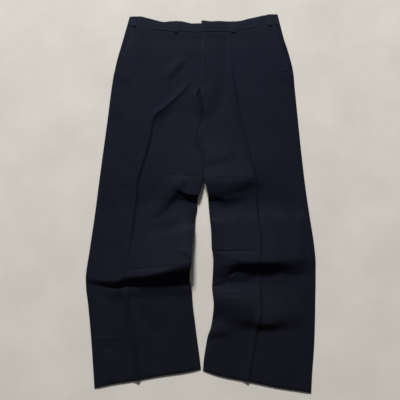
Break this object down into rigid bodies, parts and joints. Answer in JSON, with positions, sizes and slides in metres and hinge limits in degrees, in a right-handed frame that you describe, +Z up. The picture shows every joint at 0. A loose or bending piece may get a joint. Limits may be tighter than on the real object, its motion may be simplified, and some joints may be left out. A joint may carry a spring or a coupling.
{
  "type": "wool slacks",
  "caption": "Dark navy wool slacks laid flat with the front up, with pressed creases, a fly, slanted pockets, belt loops and a fold across each knee.",
  "frame": {"origin": "On the floor, under the middle of the laid garment's bounding box.", "axes": "+Z up out of the floor, +Y from the hems to the waist, +X towards the wearer's left."},
  "size_m": [0.577, 0.98, 0.0405],
  "materials": {
    "wool_cloth": "matt wool with a faint sheen",
    "wool_band": "matt wool over a stiff interfacing"
  },
  "bodies": {
    "root": {"front_right": "wool_cloth", "front_left": "wool_cloth", "back_right": "wool_cloth", "back_left": "wool_cloth", "pocket_facing_right": "wool_cloth", "pocket_facing_left": "wool_cloth", "waistband_right": "wool_band", "waistband_left": "wool_band", "belt_loop_front_right": "wool_band", "belt_loop_side_right": "wool_band", "belt_loop_front_left": "wool_band", "belt_loop_side_left": "wool_band", "belt_loop_back_right": "wool_band", "belt_loop_back_centre": "wool_band", "belt_loop_back_left": "wool_band"}
  },
  "joints": []
}
